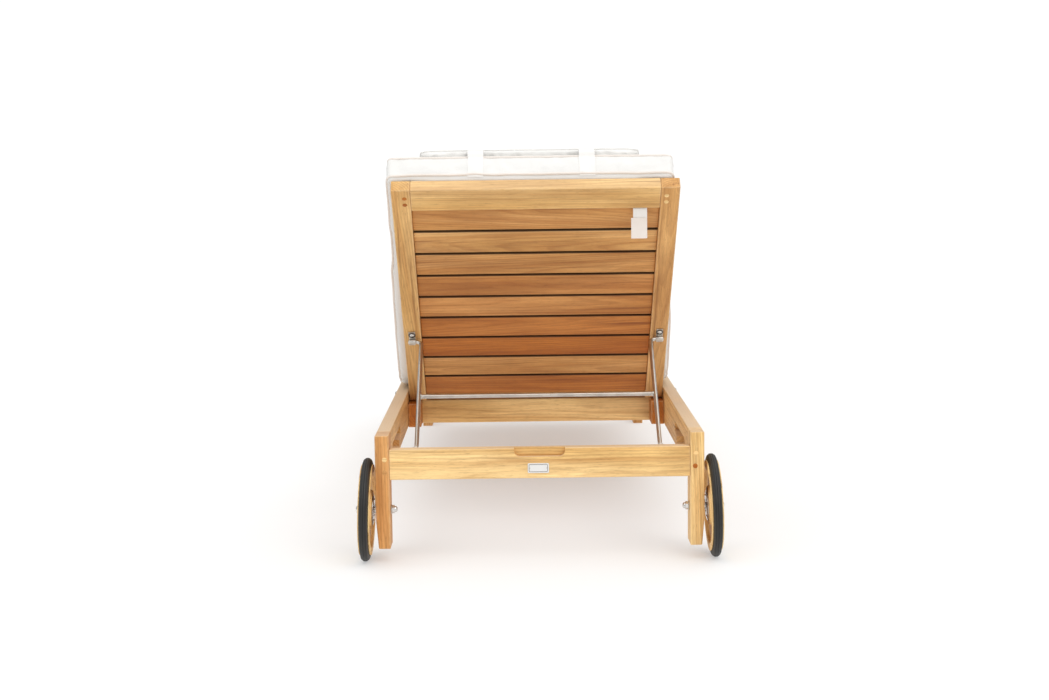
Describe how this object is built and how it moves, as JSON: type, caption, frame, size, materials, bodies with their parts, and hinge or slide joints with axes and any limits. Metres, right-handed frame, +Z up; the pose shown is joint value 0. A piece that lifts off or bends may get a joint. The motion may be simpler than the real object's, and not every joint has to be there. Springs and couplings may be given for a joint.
{
  "type": "sun lounger",
  "caption": "Reclining wooden sun lounger on two rear wheels, with a slatted back that tilts on a steel stay, a full-length boxed cushion and a head pillow",
  "frame": {"origin": "on the ground, at the middle of the whole lounger's bounding box", "axes": "+Z up, +Y towards the foot end, +X to the right for someone who looks from the head end to the foot end"},
  "size_m": [0.7922, 2.0786, 0.8784],
  "materials": {
    "teak": "bare sanded teak",
    "stainless": "satin",
    "tyre": "matt",
    "canvas": "matt woven",
    "plate": "white enamel"
  },
  "bodies": {
    "frame": {"side_rail_left": "teak", "side_rail_right": "teak", "wheel_leg_left": "teak", "wheel_leg_right": "teak", "front_leg_left": "teak", "front_leg_right": "teak", "rear_rail": "teak", "front_rail": "teak", "hinge_rail": "teak", "hinge_block_left": "teak", "hinge_block_right": "teak", "slat_bearer_left": "teak", "slat_bearer_right": "teak", "seat_slat_01": "teak", "seat_slat_02": "teak", "seat_slat_03": "teak", "seat_slat_04": "teak", "seat_slat_05": "teak", "seat_slat_06": "teak", "seat_slat_07": "teak", "seat_slat_08": "teak", "seat_slat_09": "teak", "seat_slat_10": "teak", "seat_slat_11": "teak", "seat_slat_12": "teak", "seat_slat_13": "teak", "hinge_bolt_left": "stainless", "hinge_bolt_right": "stainless", "axle_bolt_left": "stainless", "axle_bolt_right": "stainless", "dome_nut_left": "stainless", "dome_nut_right": "stainless", "maker_plate": "plate", "cushion_seat": "canvas"},
    "backrest": {"back_stile_left": "teak", "back_stile_right": "teak", "back_top_rail": "teak", "back_slat_1": "teak", "back_slat_2": "teak", "back_slat_3": "teak", "back_slat_4": "teak", "back_slat_5": "teak", "back_slat_6": "teak", "back_slat_7": "teak", "back_slat_8": "teak", "back_slat_9": "teak", "stay_bracket_left": "stainless", "stay_bracket_right": "stainless", "cushion_back": "canvas", "head_pillow": "canvas"},
    "stay": {"stay_rod_left": "stainless", "stay_rod_right": "stainless", "stay_cross_rod": "stainless"},
    "wheel_left": {"wheel_disc_left": "teak", "tyre_left": "tyre", "wheel_hub_left": "stainless"},
    "wheel_right": {"wheel_disc_right": "teak", "tyre_right": "tyre", "wheel_hub_right": "stainless"}
  },
  "joints": [
    {"name": "backrest_recline", "type": "hinge", "parent": "frame", "child": "backrest", "pos_m": [0, -0.21875, 0.263], "axis": [-1, 0, 0], "range_deg": [-44.5, 11.9]},
    {"name": "stay_swing", "type": "hinge", "parent": "backrest", "child": "stay", "pos_m": [0, -0.40889, 0.4162], "axis": [1, 0, 0], "range_deg": [-74.76, 19.99]},
    {"name": "wheel_left_spin", "type": "hinge", "parent": "frame", "child": "wheel_left", "pos_m": [-0.372, -0.92825, 0.11095], "axis": [0.9995, 0, -0.0323], "continuous": true},
    {"name": "wheel_right_spin", "type": "hinge", "parent": "frame", "child": "wheel_right", "pos_m": [0.372, -0.92825, 0.11095], "axis": [0.9995, 0, 0.0323], "continuous": true}
  ],
  "couplings": [
    {"joint": "stay_swing", "follows": "backrest_recline", "ratio": 1.68}
  ]
}
